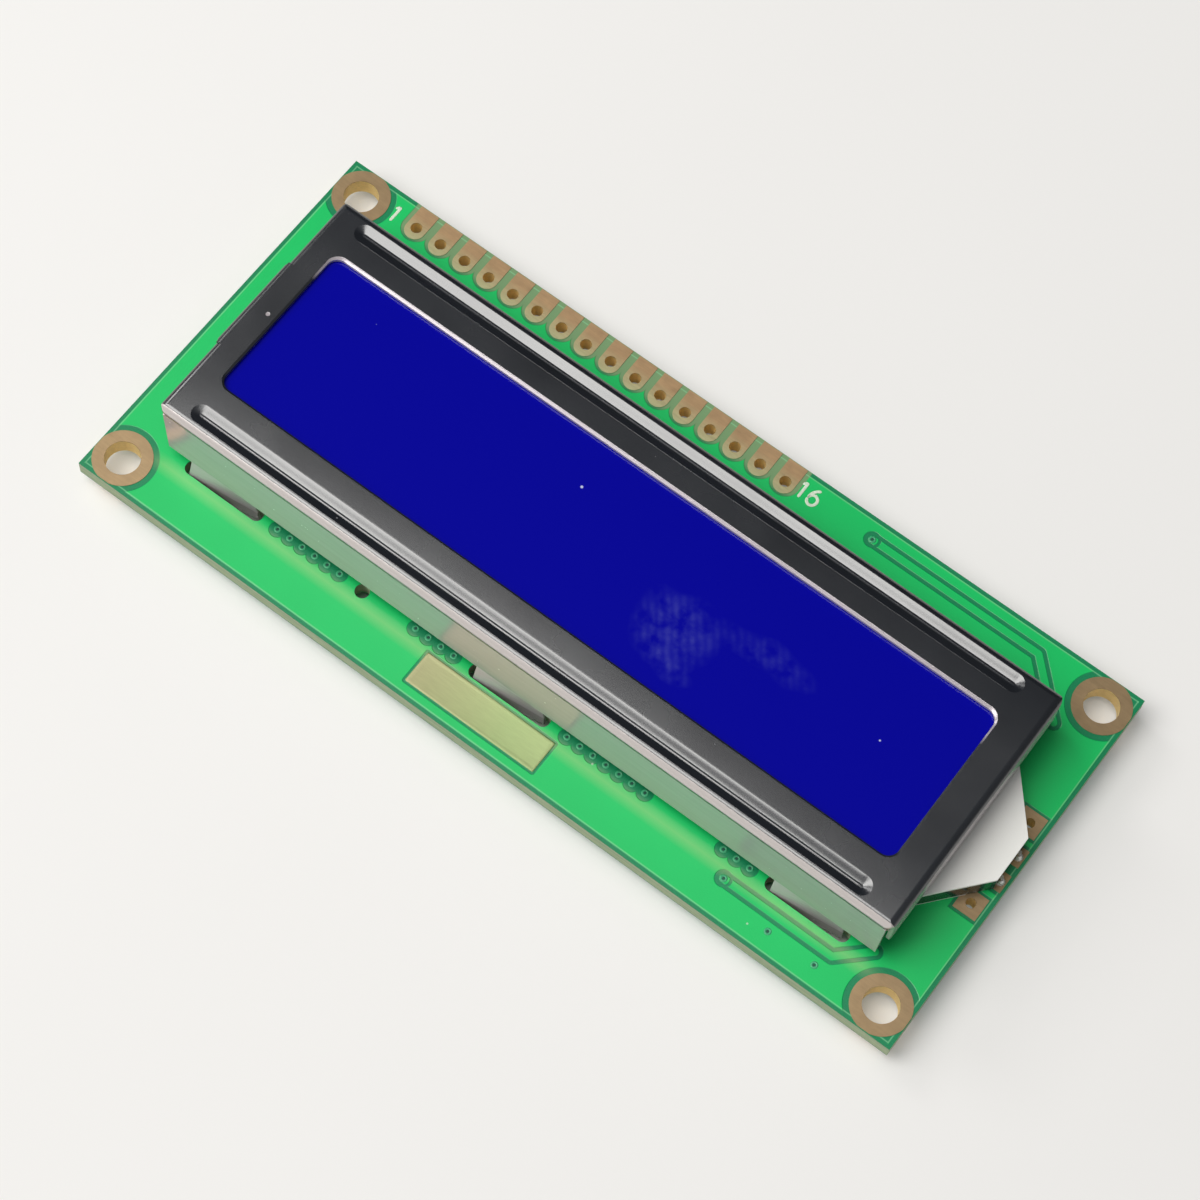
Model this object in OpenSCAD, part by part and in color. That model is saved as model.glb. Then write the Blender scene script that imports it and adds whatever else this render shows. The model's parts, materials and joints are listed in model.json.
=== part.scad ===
// Character LCD module: a glass cell and its edge-lit backlight, held on a
// circuit board by one folded steel bezel whose tabs are twisted under the board.
// Origin: on the board's upper face, in the middle of its four fixing holes.
// +X runs towards the backlight's end, +Y towards the header row, +Z out of the display.

/* [Circuit board] */
// Length of the board, along X
board_l = 80; // [79:0.5:90]
// Width of the board, along Y
board_w = 36; // [35.5:0.5:44]
// Thickness of the laminate
board_t = 1.6; // [1.0:0.1:2.0]
// Fixing hole's distance from each board edge
hole_inset = 2.5; // [2.4:0.1:2.8]
// Finished diameter of a fixing hole
hole_d = 3.0; // [2.5:0.1:3.4]
// Diameter of the bare metal round a fixing hole
hole_pad_d = 5.0; // [4.6:0.1:5.4]
// Thickness of copper and plating, on the faces and in the holes
copper_t = 0.05; // [0.03:0.01:0.08]
// Strip of bare laminate left between any pad and the board's edge
edge_strip = 0.06; // [0.02:0.02:0.2]

/* [Header row] */
// Number of header holes
pin_count = 16; // [8:1:16]
// Distance from one header hole to the next
pin_pitch = 2.54; // [2.3:0.02:2.54]
// Finished diameter of a header hole
pin_hole_d = 1.0; // [0.8:0.05:1.1]
// Distance of the first header hole from the board's left edge
pin_start = 8.0; // [7:0.5:10]
// Distance of the header row from the board's far edge
pin_inset = 2.0; // [1.8:0.1:2.2]
// Width of a header pad
pin_pad_w = 1.84; // [1.6:0.02:2.0]
// How far a header pad reaches past its hole's centre, away from the edge
pin_pad_reach = 1.12; // [1.0:0.02:1.3]

/* [Bezel] */
// Mean distance from an end wall of the bezel to that end of the board
bezel_end_margin = 4.4; // [3.5:0.1:4.6]
// Mean distance from a long wall of the bezel to that side of the board
bezel_side_margin = 6.05; // [5.6:0.05:6.2]
// Height of the bezel's face above the board
bezel_h = 6.6; // [6.4:0.1:8]
// Thickness of the sheet
bezel_t = 0.4; // [0.3:0.05:0.5]
// Shift of the bezel's centre from the board's, along X
bezel_dx = -0.3; // [-0.6:0.1:0.3]
// Shift of the bezel's centre from the board's, along Y
bezel_dy = -0.4; // [-0.8:0.1:0]
// Outer radius of the fold along each edge
fold_r = 0.65; // [0.6:0.05:0.9]
// Radius of the bezel's corners, seen from above
corner_r = 0.8; // [0.6:0.05:1.2]
// Height of the short end walls, from the bezel's face down
end_wall_h = 3.5; // [2.5:0.1:3.8]
// Distance from an end wall's outer face to the end of a long wall
seam_w = 0.5; // [0.5:0.05:0.8]
// Length that a long wall loses towards its foot, at its left-hand end
wall_taper = 0.6; // [0.2:0.1:1]
// Width of the open seam beside the end of a long wall's sheet
seam_cut = 0.05; // [0.02:0.01:0.1]
// Height of the closed corner above the open seam
corner_h = 1.0; // [0.9:0.1:1.5]
// Angle by which the long walls lean outwards below their folds
wall_lean = 5.5; // [3:0.5:6]
// Height of a long wall's lower edge above the board, between its tabs
wall_foot = 1.3; // [0.8:0.1:1.6]
// Width of the bulge in the middle of the left-hand end wall
bulge_w = 9.2; // [6:0.2:14]
// Depth of that bulge
bulge = 0.2; // [0.1:0.05:0.3]

/* [Window and grooves] */
// Mean width of the face from an end wall to the window
window_end_margin = 2.9; // [2.8:0.1:6]
// Width of the face from a long wall to the window
window_side_margin = 4.55; // [4:0.05:5.5]
// Corner radius of the window
window_r = 1.0; // [0.5:0.1:2]
// Shift of the window and grooves along X from the bezel's centre
window_dx = -0.33; // [-0.5:0.01:0.5]
// Width of the rounded lip round the window
lip = 0.18; // [0.1:0.02:0.25]
// Depth of that lip
lip_depth = 0.12; // [0.08:0.01:0.2]
// Mean distance from an end wall to the end of a pressed groove
groove_end_margin = 2.7; // [2.6:0.1:8]
// Width of a groove at the face
groove_w = 1.75; // [1.5:0.05:1.8]
// Width of the flat at the bottom of a groove
groove_flat = 0.3; // [0.2:0.05:0.5]
// Depth of a groove, which is also how far its rib stands out inside
groove_depth = 0.3; // [0.2:0.02:0.34]
// Distance of a groove's middle from the outer face of its long wall
groove_inset = 1.56; // [1.5:0.02:1.8]

/* [Twisted tabs] */
// Width of a tab
tab_w = 6.5; // [5:0.1:7]
// Distance from an end wall to the middle of the nearest tab
tab_end_margin = 6.7; // [6.5:0.1:9]
// How far a tab's end stands below the board
tab_stand = 1.3; // [1.2:0.1:1.6]
// Angle through which a tab is twisted at its end
tab_turn = 30; // [15:1:32]
// Part of that twist which a tab already has in its slot
slot_turn = 6.5; // [4:0.5:7]
// Clearance between a tab's edge and the end of its slot
slot_gap_x = 0.67; // [0.4:0.01:1]
// Clearance between a tab's face and the side of its slot
slot_gap_y = 0.45; // [0.42:0.01:0.6]
// Corner radius of a slot
slot_r = 0.6; // [0.4:0.05:0.8]
// Diameter of the locating hole beside the front wall
peg_hole_d = 1.25; // [1:0.05:1.5]
// Distance of the locating hole from the middle tab, towards the left
peg_hole_shift = 14.7; // [12:0.1:18]
// Distance of the locating hole from the front wall's outer face
peg_hole_gap = 0.45; // [0.1:0.05:0.8]

/* [Glass cell] */
// Clearance between the cell and the bezel's walls
cell_gap = 0.35; // [0.2:0.05:0.5]
// Thickness of each glass
glass_t = 1.1; // [0.7:0.1:1.1]
// Gap between the glasses, filled by the seal and the liquid crystal
cell_t = 0.05; // [0.02:0.01:0.1]
// Width of the contact ledge where the front glass passes the rear one
ledge_w = 2.5; // [2.4:0.1:3]
// Thickness of each polarizer
polarizer_t = 0.2; // [0.1:0.05:0.25]
// Strip of bare glass left round a polarizer
polarizer_inset = 0.6; // [0.4:0.1:1]
// Clearance between the front polarizer and the bezel's ribs
rib_gap = 0.1; // [0.05:0.05:0.3]

/* [Zebra strips] */
// Width of a zebra strip
zebra_w = 1.6; // [1.2:0.1:1.6]
// Clearance between a zebra strip and the rear glass
zebra_gap = 0.15; // [0.1:0.05:0.3]
// Length of zebra strip left off at each end of the cell
zebra_short = 1.6; // [1:0.2:4]
// Number of contact fingers under each zebra strip
finger_count = 40; // [16:1:60]
// Share of the finger pitch that is metal
finger_share = 0.5; // [0.3:0.05:0.7]

/* [Backlight] */
// Thickness of the diffuser above the light guide
diffuser_t = 0.2; // [0.1:0.05:0.3]
// Thickness of the reflector below the light guide
reflector_t = 0.15; // [0.1:0.05:0.25]
// Clearance between the light guide and the edge of the rear glass, along Y
guide_gap = 0.2; // [0:0.1:0.6]
// Clearance between the light guide's thick part and the bezel's end walls
guide_end_gap = 0.7; // [0.5:0.1:1.5]
// Height of the white tongue's upper face above the board
tongue_h = 2.25; // [1.9:0.05:2.4]
// Thickness of the white film on the tongue
tongue_film_t = 0.25; // [0.15:0.05:0.35]
// Distance of the tongue's tip from the board's right edge
tongue_inset = 0.88; // [0.8:0.02:1.2]
// Width of the tongue at its tip
tongue_tip_w = 4.3; // [4:0.1:6]
// Slope of the tongue's sides: width lost on each side for each unit of length
tongue_slope = 1.18; // [1:0.02:1.3]
// Length of the lamp in the tongue's tip, along Y
led_l = 3.2; // [2.8:0.1:3.4]
// Depth of the lamp, along X
led_w = 1.2; // [0.8:0.1:1.5]
// Height of the lamp
led_h = 1.5; // [1:0.1:1.6]
// Clearance round the lamp in its notch
led_gap = 0.08; // [0.05:0.01:0.15]
// Distance between the lamp's two leads
lead_pitch = 2.54; // [2:0.02:2.6]
// Width of a lead
lead_w = 0.4; // [0.3:0.05:0.5]
// Thickness of a lead
lead_t = 0.15; // [0.1:0.05:0.2]
// Distance of the leads from the board's right edge
lead_inset = 0.72; // [0.6:0.02:0.74]
// Radius of a lead's solder joint
joint_r = 0.42; // [0.3:0.02:0.5]
// Size, along X, of the pad under a lead's solder joint
lead_pad_w = 0.9; // [0.7:0.05:1.1]
// The same along Y
lead_pad_l = 1.7; // [1.2:0.1:2]
// Side of the square pads for the backlight's wires
wire_pad = 2.1; // [1.8:0.1:2.3]
// Finished diameter of the wire holes
wire_hole_d = 0.85; // [0.7:0.05:1]
// Distance of the wire holes from the board's right edge
wire_inset = 1.6; // [1.5:0.05:1.8]
// Distance between the two wire holes
wire_pitch = 8.3; // [8:0.1:10]

/* [Underside parts] */
// Diameter of the resin cap over each chip
cap_d = 14.5; // [11:0.5:16]
// Height of a resin cap
cap_h = 1.05; // [0.8:0.05:1.15]
// Distance from an end wall of the bezel to the middle of a resin cap
cap_end_margin = 20.1; // [18:0.1:23]
// Side of each square chip
die_w = 3.2; // [2:0.1:4]
// Thickness of each chip
die_t = 0.4; // [0.3:0.05:0.5]
// Length of a small resistor or capacitor
chip_l = 2.0; // [1.6:0.1:2.2]
// Width of a small resistor or capacitor
chip_w = 1.25; // [0.8:0.05:1.4]
// Height of a small resistor
chip_h = 0.5; // [0.4:0.05:0.6]
// Height of a small capacitor
capacitor_h = 0.8; // [0.6:0.05:1]
// Length of the metal cap at each end of a chip
chip_end = 0.35; // [0.2:0.05:0.5]
// How far the solder reaches past a chip's end
fillet = 0.35; // [0.2:0.05:0.5]
// Distance between neighbouring chips in a row
chip_step = 2.4; // [2.2:0.1:3]
// Distance of the ladder resistors from the bezel's front wall
ladder_inset = 2.85; // [2.4:0.05:3.5]
// Distance of the timing resistors from the display's middle line
timing_shift = 5.9; // [4:0.1:8]
// Distance of the backlight resistors from the board's right edge
ballast_inset = 5.7; // [4.5:0.1:7]
// Distance of each backlight resistor from the display's middle line
ballast_shift = 2.9; // [2.2:0.1:4]
// Distance of a capacitor from the bezel's end wall, and from its long wall
capacitor_inset = 4.2; // [3.6:0.1:6]

/* [Hidden] */
$fn = 48;
eps = 0.01;
// how far a cutting form runs past what it cuts
past = 2;

// heights above the board's upper face, worked out from the bezel's face down
face_under = bezel_h - bezel_t;
glass_top = face_under - groove_depth;
front_glass_z = glass_top - glass_t;
rear_glass_z = front_glass_z - cell_t - glass_t;
rear_polarizer_z = rear_glass_z - polarizer_t;
guide_top = rear_polarizer_z - diffuser_t;
tongue_top = tongue_h - tongue_film_t;
underside = -board_t;

// the bezel, outside and inside, and what is cut and pressed in its face
bezel_l = board_l - 2 * bezel_end_margin;
bezel_w = board_w - 2 * bezel_side_margin;
window_l = bezel_l - 2 * window_end_margin;
window_w = bezel_w - 2 * window_side_margin;
groove_l = bezel_l - 2 * groove_end_margin;
tab_pitch = bezel_l / 2 - tab_end_margin;
inner_l = bezel_l - 2 * bezel_t;
inner_w = bezel_w - 2 * bezel_t;

// the glass cell
cell_l = inner_l - 2 * cell_gap;
front_glass_w = inner_w - 2 * cell_gap;
rear_glass_w = front_glass_w - 2 * ledge_w;
polarizer_l = cell_l - 2 * polarizer_inset;
rib_y = bezel_w / 2 - groove_inset;
front_polarizer_w = 2 * (rib_y - groove_w / 2 - rib_gap);
rear_polarizer_w = rear_glass_w - 2 * polarizer_inset;

// the zebra strips
zebra_l = cell_l - 2 * zebra_short;
zebra_y = rear_glass_w / 2 + zebra_gap + zebra_w / 2;
zebra_h = front_glass_z - copper_t;
finger_pitch = zebra_l / finger_count;

// the light guide, whose tongue passes under the right-hand end wall
guide_l = inner_l - 2 * guide_end_gap;
guide_w = rear_glass_w - 2 * guide_gap;
tip_x = board_l / 2 - tongue_inset - bezel_dx;
taper_l = (guide_w - tongue_tip_w) / 2 / tongue_slope;
taper_x = tip_x - taper_l;
lead_x = board_l / 2 - lead_inset;
guide_z = copper_t + reflector_t;
lead_z = guide_z + led_h / 2;
lamp_x = tip_x + bezel_dx - led_gap - led_w / 2;

// the board's features
hole_x = board_l / 2 - hole_inset;
hole_y = board_w / 2 - hole_inset;
pin_y = board_w / 2 - pin_inset;
pin_x0 = -board_l / 2 + pin_start;
wire_x = board_l / 2 - wire_inset;
wall_mid_y = bezel_w / 2 - bezel_t / 2;
lean_z = bezel_h - corner_h;
peg_hole_y = bezel_dy - bezel_w / 2 - peg_hole_gap;
tab_l = wall_foot + board_t + tab_stand;
tab_rows = 12;
tab_cols = 6;

// the underside's parts: place, and turn about Z
chip_z = underside - copper_t;
capacitor_x = bezel_l / 2 - chip_l - capacitor_inset;
capacitor_y = bezel_w / 2 - capacitor_inset;
capacitor_places = [for (p = [[-1, 1], [1, 1], [1, -1]])
    [bezel_dx + p[0] * capacitor_x, bezel_dy + p[1] * capacitor_y, 0]];
ladder_places = [for (i = [-2:2])
    [bezel_dx + i * chip_step, bezel_dy - bezel_w / 2 + ladder_inset, 90]];
timing_places = [for (i = [0, 1]) [bezel_dx, bezel_dy + timing_shift + (i - 0.5) * chip_step, 0]];
ballast_places = [for (side = [-1, 1])
    [board_l / 2 - ballast_inset, bezel_dy + side * ballast_shift, 90]];
resistor_places = concat(ladder_places, timing_places, ballast_places);

// ---------------------------------------------------------------- plain forms

// rectangle with rounded corners, centred
module rounded_rect(l, w, r) {
    square([l - 2 * r, w], center = true);
    square([l, w - 2 * r], center = true);
    for (x = [-1, 1], y = [-1, 1])
        translate([x * (l / 2 - r), y * (w / 2 - r)]) circle(r);
}

// flat plate with rounded corners, centred, its foot at z = 0
module plate(l, w, h, r) {
    linear_extrude(h) rounded_rect(l, w, r);
}

// centred block with its foot at z = 0
module block(l, w, h) {
    translate([-l / 2, -w / 2, 0]) cube([l, w, h]);
}

// upright section with rounded shoulders, centred on X, its foot at y = 0
module arch(w, h, r) {
    translate([-w / 2, 0]) square([w, h - r]);
    translate([-w / 2 + r, 0]) square([w - 2 * r, h]);
    for (side = [-1, 1]) translate([side * (w / 2 - r), h - r]) circle(r);
}

// carries a section drawn in X and Y along Y, its Y turned up to Z
module along_y(l) {
    translate([0, l / 2, 0]) rotate([90, 0, 0]) linear_extrude(l) children();
}

// the same along X
module along_x(l) {
    rotate(90) along_y(l) children();
}

// dish with sloping sides: l by w with corner radius r at its foot, wider by
// flare on every side at height h
module dish(l, w, r, flare, h) {
    module slope(span) {
        polygon([[-span / 2, 0], [span / 2, 0],
            [span / 2 + flare, h], [-span / 2 - flare, h]]);
    }
    if (w > 2 * r) along_y(w - 2 * r) slope(l);
    if (l > 2 * r) along_x(l - 2 * r) slope(w);
    for (x = [-1, 1], y = w > 2 * r ? [-1, 1] : [0])
        translate([x * (l / 2 - r), y * (w / 2 - r), 0]) cylinder(h, r, r + flare);
}

// puts its children at the centre of the bezel
module at_bezel(z = 0) {
    translate([bezel_dx, bezel_dy, z]) children();
}

// ------------------------------------------------------------------ the bezel

// how far a long wall stands out at height z, below the start of its lean
function lean(z) = (lean_z - z) * tan(wall_lean);

// the space inside the folds grown by grow: 0 is the sheet's outer face, and
// -bezel_t its inner face
module bezel_form(grow, foot) {
    r = fold_r + grow;
    h = bezel_h + grow;
    l = bezel_l + 2 * grow;
    w = bezel_w + 2 * grow;
    crest = bulge_w / 2 - 2 * bulge;
    wide = w / 2 + lean(foot);
    translate([0, 0, foot]) intersection() {
        along_x(l + 2) union() {
            arch(w, h - foot, r);
            polygon([[-wide, 0], [wide, 0], [w / 2, lean_z - foot], [-w / 2, lean_z - foot]]);
        }
        union() {
            along_y(w + past) arch(l, h - foot, r);
            translate([-bulge, 0, 0]) along_y(bulge_w) arch(l, h - foot, r);
        }
        union() {
            linear_extrude(h - foot) union() {
                rounded_rect(l, w, corner_r + grow);
                translate([-l / 2, 0]) polygon([[bulge, -bulge_w / 2], [-bulge, -crest],
                    [-bulge, crest], [bulge, bulge_w / 2]]);
            }
            block(bezel_l - 2 * (seam_w + grow), w + past, lean_z - foot);
        }
    }
}

// one pressed groove, foot at z = 0 and widest at its top
module groove(depth) {
    flare = (groove_w - groove_flat) / 2;
    dish(groove_l - 2 * flare, groove_flat, groove_flat / 2, flare, depth);
}

// what the window takes out, with its rounded lip
module window() {
    translate([0, 0, face_under - eps])
        plate(window_l, window_w, bezel_t + 2 * eps, window_r);
    translate([0, 0, bezel_h - lip_depth])
        dish(window_l, window_w, window_r, lip, lip_depth);
}

// what parts the end walls from the long ones, and ends them short of the board;
// the left-hand ends of the long walls are cut aslant
module seams() {
    open_z = bezel_h - end_wall_h;
    seam_y = bezel_t + seam_cut;
    end_x = bezel_l / 2 - seam_w;
    slant = wall_taper * (lean_z + past) / (lean_z - wall_foot);
    for (side = [-1, 1]) {
        translate([side * (end_x + past), 0, -past])
            block(2 * past, bezel_w + past, open_z + past);
        for (end = [-1, 1]) translate([side * end_x, end * (bezel_w / 2 - seam_y + past), 0])
            along_y(2 * past) polygon([[0, lean_z], [side * 2 * past, lean_z],
                [side * 2 * past, -past], [side < 0 ? slant : 0, -past]]);
    }
}

// smooth step from 0 to 1
function ease(t) = t * t * (3 - 2 * t);

// twist of a tab at height z: none at its wall's foot, little in its slot, and the
// rest of it under the board
function tab_twist(z) = slot_turn * (1 - max(z, 0) / wall_foot)
    + (tab_turn - slot_turn) * ease(max(underside - z, 0) / tab_stand);

// the tab's section at height z, twisted about its own middle: along its outer
// face, then back along its inner one
function tab_ring(z) = [for (face = [-1, 1], i = [0:tab_cols])
    let (turn = z < wall_foot ? tab_twist(z) : 0,
        x = -face * (i / tab_cols - 0.5) * tab_w, y = face * (bezel_t / 2 - eps))
    [x * cos(turn) - y * sin(turn), x * sin(turn) + y * cos(turn) - lean(max(z, 0)), z]];

// one tab: it follows the lean of its wall down to the board, and is twisted
// more and more on its way, as a row of sections joined to each other
module tab() {
    n = 2 * (tab_cols + 1);
    rings = concat([tab_ring(wall_foot + bezel_t)],
        [for (k = [0:tab_rows]) tab_ring(wall_foot - tab_l * k / tab_rows)]);
    sides = [for (k = [0:tab_rows], i = [0:n - 1], half = [0, 1])
        let (a = k * n + i, b = k * n + (i + 1) % n)
        half == 0 ? [a, b, a + n] : [b, b + n, a + n]];
    last = (tab_rows + 1) * n;
    ends = [for (i = [0:tab_cols - 1]) each
        [[n - 1 - i, n - 2 - i, i + 1, i], [last + i, last + i + 1, last + n - 2 - i, last + n - 1 - i]]];
    polyhedron([for (ring = rings) each ring], concat(sides, ends));
}

// places for what goes with the tabs: three along each long wall, moved out by out
module at_tabs(out = 0) {
    for (turn = [0, 180], i = [-1, 0, 1])
        rotate(turn) translate([i * tab_pitch, -wall_mid_y - out, 0]) children();
}

// one sheet, folded down on four sides, its long walls leaning out, with its
// window, two pressed grooves whose ribs bear on the glass, open corner seams and
// six twisted tabs
module bezel() {
    color("#1b1c20") at_bezel() {
        difference() {
            union() {
                difference() {
                    bezel_form(0, wall_foot);
                    bezel_form(-bezel_t, -past);
                }
                for (side = [-1, 1])
                    translate([window_dx, side * rib_y, glass_top])
                        groove(groove_depth);
            }
            translate([window_dx, 0, 0]) window();
            for (side = [-1, 1])
                translate([window_dx, side * rib_y, bezel_h - groove_depth])
                    groove(groove_depth + eps);
            seams();
        }
        at_tabs() tab();
    }
}

// ---------------------------------------------------------- the circuit board

// places for what goes with the four fixing holes
module at_holes() {
    for (x = [-1, 1], y = [-1, 1]) translate([x * hole_x, y * hole_y, 0]) children();
}

// places for what goes with the header holes
module at_pins() {
    for (i = [0:pin_count - 1]) translate([pin_x0 + i * pin_pitch, pin_y, 0]) children();
}

// places for what goes with the backlight's wire holes
module at_wires() {
    for (side = [-1, 1])
        translate([wire_x, bezel_dy + side * wire_pitch / 2, 0]) children();
}

// what a drill takes out of the board for a plated hole
module drilling(finished_d) {
    translate([0, 0, underside - past]) cylinder(board_t + 2 * past, d = finished_d + 2 * copper_t);
}

// a plated hole: the pad drawn as its child on both faces, and the wall between
module plated_hole(finished_d) {
    difference() {
        union() {
            linear_extrude(copper_t) children();
            translate([0, 0, underside - copper_t]) linear_extrude(copper_t) children();
            translate([0, 0, underside]) cylinder(board_t, d = finished_d + 2 * copper_t);
        }
        drilling(finished_d - 2 * copper_t);
    }
}

module circuit_board() {
    slot_l = tab_w + 2 * slot_gap_x;
    slot_w = bezel_t + 2 * slot_gap_y;
    color("#2fae5d") difference() {
        translate([0, 0, underside]) block(board_l, board_w, board_t);
        at_holes() drilling(hole_d);
        at_pins() drilling(pin_hole_d);
        at_wires() drilling(wire_hole_d);
        at_bezel(underside - past) at_tabs(lean(0))
            plate(slot_l, slot_w, board_t + 2 * past, slot_r);
        translate([bezel_dx - peg_hole_shift, peg_hole_y, underside - past])
            cylinder(board_t + 2 * past, d = peg_hole_d);
    }
}

// bare metal round the fixing holes, cut off where it meets the board's edge
module mounting_pads() {
    reach = hole_inset - edge_strip;
    color("#b79f78") for (x = [-1, 1], y = [-1, 1])
        translate([x * hole_x, y * hole_y, 0]) plated_hole(hole_d) intersection() {
            circle(d = hole_pad_d);
            translate([x * (reach - hole_pad_d), y * (reach - hole_pad_d)])
                square(2 * hole_pad_d, center = true);
        }
}

// header pads, open to the board's far edge and round at the other end
module header_pads() {
    r = pin_pad_w / 2;
    color("#b08d66") at_pins() plated_hole(pin_hole_d) union() {
        translate([0, r - pin_pad_reach]) circle(r);
        translate([-r, r - pin_pad_reach])
            square([pin_pad_w, pin_inset - edge_strip - r + pin_pad_reach]);
    }
}

// pads for the backlight's wires, and the two the lamp's leads are soldered to
module backlight_pads() {
    color("#b08d66") {
        at_wires() plated_hole(wire_hole_d) square(wire_pad, center = true);
        for (side = [-1, 1])
            translate([lead_x, bezel_dy + side * lead_pitch / 2, 0])
                block(lead_pad_w, lead_pad_l, copper_t);
    }
}

// gilt fingers that the zebra strips stand on
module contact_fingers() {
    color("#c8a85a") at_bezel() for (side = [-1, 1], i = [0:finger_count - 1])
        translate([(i + 0.5) * finger_pitch - zebra_l / 2, side * zebra_y, 0])
            block(finger_pitch * finger_share, zebra_w, copper_t);
}

// -------------------------------------------------------------- the glass cell

module front_polarizer() {
    color("#10109a") at_bezel(glass_top)
        block(polarizer_l, front_polarizer_w, polarizer_t);
}

module front_glass() {
    color("#9fc3cf") at_bezel(front_glass_z) block(cell_l, front_glass_w, glass_t);
}

// the seal with the liquid crystal inside it, as wide as the rear glass
module cell_seal() {
    color("#3a3f8c") at_bezel(front_glass_z - cell_t) block(cell_l, rear_glass_w, cell_t);
}

module rear_glass() {
    color("#9fc3cf") at_bezel(rear_glass_z) block(cell_l, rear_glass_w, glass_t);
}

module rear_polarizer() {
    color("#34364a") at_bezel(rear_polarizer_z)
        block(polarizer_l, rear_polarizer_w, polarizer_t);
}

module zebra_strip(side) {
    color("#d9a7b4") at_bezel(copper_t)
        translate([0, side * zebra_y, 0]) block(zebra_l, zebra_w, zebra_h);
}

module zebra_strip_front() zebra_strip(-1);

module zebra_strip_back() zebra_strip(1);

// --------------------------------------------------------------- the backlight

// outline of the guide's tongue, from x = start to the tip, less back at the tip
module tongue_plan(start, back = 0) {
    root_w = min(guide_w, tongue_tip_w + 2 * tongue_slope * (tip_x - start));
    tip = tip_x - back;
    tip_w = tongue_tip_w + 2 * tongue_slope * back;
    knee = max(start, taper_x);
    polygon([[start, -root_w / 2], [knee, -root_w / 2], [tip, -tip_w / 2],
        [tip, tip_w / 2], [knee, root_w / 2], [start, root_w / 2]]);
}

// the room that the lamp takes out of the tongue's tip, open at the tip
module lamp_notch(h) {
    notch_l = led_l + 2 * led_gap;
    translate([tip_x - led_w - 2 * led_gap, -notch_l / 2, 0])
        cube([led_w + 2 * led_gap + past, notch_l, h]);
}

module diffuser_film() {
    color("white") at_bezel(guide_top) block(guide_l, guide_w, diffuser_t);
}

// one clear moulding: a thick plate under the cell, and a thinner tongue that
// narrows to the lamp
module light_guide() {
    color("#dfe9ea") at_bezel(guide_z) difference() {
        union() {
            block(guide_l, guide_w, guide_top - guide_z);
            linear_extrude(tongue_top - guide_z) tongue_plan(guide_l / 2 - past);
        }
        lamp_notch(tongue_top);
    }
}

module reflector_film() {
    color("#f2f2ee") at_bezel(copper_t) linear_extrude(reflector_t) {
        square([guide_l, guide_w], center = true);
        tongue_plan(guide_l / 2 - past, led_w + 3 * led_gap);
    }
}

// white film on the tongue, from the guide's thick part to its tip
module tongue_film() {
    color("#eeede8") at_bezel(tongue_top)
        linear_extrude(tongue_film_t) tongue_plan(guide_l / 2 + led_gap);
}

module backlight_lamp() {
    color("#f4e9b8") translate([lamp_x, bezel_dy, guide_z])
        block(led_w, led_l, led_h);
}

// each lead leaves the lamp's outer face and turns down to its pad
module lamp_leads() {
    face = lamp_x + led_w / 2;
    color("silver") for (side = [-1, 1])
        translate([0, bezel_dy + side * lead_pitch / 2 - lead_w / 2, 0]) {
            translate([face, 0, lead_z - lead_t]) cube([lead_x - face, lead_w, lead_t]);
            translate([lead_x - lead_t, 0, copper_t])
                cube([lead_t, lead_w, lead_z - copper_t]);
        }
}

// a low cone of solder round the foot of each lead
module lamp_solder() {
    color("#cfd2d4") difference() {
        for (side = [-1, 1])
            translate([lead_x - lead_t / 2, bezel_dy + side * lead_pitch / 2, copper_t])
                cylinder(joint_r * 1.1, joint_r, lead_w / 2);
        lamp_leads();
        translate([lamp_x, bezel_dy, 0]) block(led_w + 2 * led_gap, 2 * led_l, past);
    }
}

// --------------------------------------------------------- under the board

// places for the two chips: the controller towards the lamp, the driver away
module at_chip(side) {
    translate([side * (bezel_l / 2 - cap_end_margin), 0, underside]) children();
}

module chip(side) {
    color("#30343a") at_chip(side) mirror([0, 0, 1]) block(die_w, die_w, die_t);
}

// low round cap of black resin, cast over the chip
module resin_cap(side) {
    r = (cap_d * cap_d / 4 + cap_h * cap_h) / 2 / cap_h;
    color("#141414") at_chip(side) mirror([0, 0, 1]) difference() {
        intersection() {
            translate([0, 0, cap_h - r]) sphere(r, $fn = 180);
            cylinder(cap_h, d = cap_d);
        }
        translate([0, 0, -eps]) block(die_w, die_w, die_t + eps);
    }
}

module controller_chip() chip(1);

module controller_cap() resin_cap(1);

module driver_chip() chip(-1);

module driver_cap() resin_cap(-1);

// puts its child at each place, under the board, with its own Z downwards
module under(places) {
    for (p = places)
        translate([p[0], p[1], chip_z]) rotate(p[2]) mirror([0, 0, 1]) children();
}

module chip_bodies(places, h) {
    under(places) block(chip_l - 2 * chip_end, chip_w, h);
}

module ladder_resistors() {
    color("#1d1f22") chip_bodies(ladder_places, chip_h);
}

module timing_resistors() {
    color("#1d1f22") chip_bodies(timing_places, chip_h);
}

module backlight_resistors() {
    color("#1d1f22") chip_bodies(ballast_places, chip_h);
}

module capacitors() {
    color("#b59a78") chip_bodies(capacitor_places, capacitor_h);
}

// metal cap and sloping solder at both ends of a chip, on its copper pad
module chip_ends(h) {
    for (side = [0, 180]) rotate(side) translate([chip_l / 2 - chip_end, 0, 0]) {
        along_y(chip_w) polygon([[0, 0], [chip_end + fillet, 0], [chip_end, h], [0, h]]);
        mirror([0, 0, 1]) translate([(chip_end + fillet) / 2, 0, 0])
            block(chip_end + fillet, chip_w, copper_t);
    }
}

module chip_solder() {
    color("#c9ccce") {
        under(resistor_places) chip_ends(chip_h);
        under(capacitor_places) chip_ends(capacitor_h);
    }
}

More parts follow.
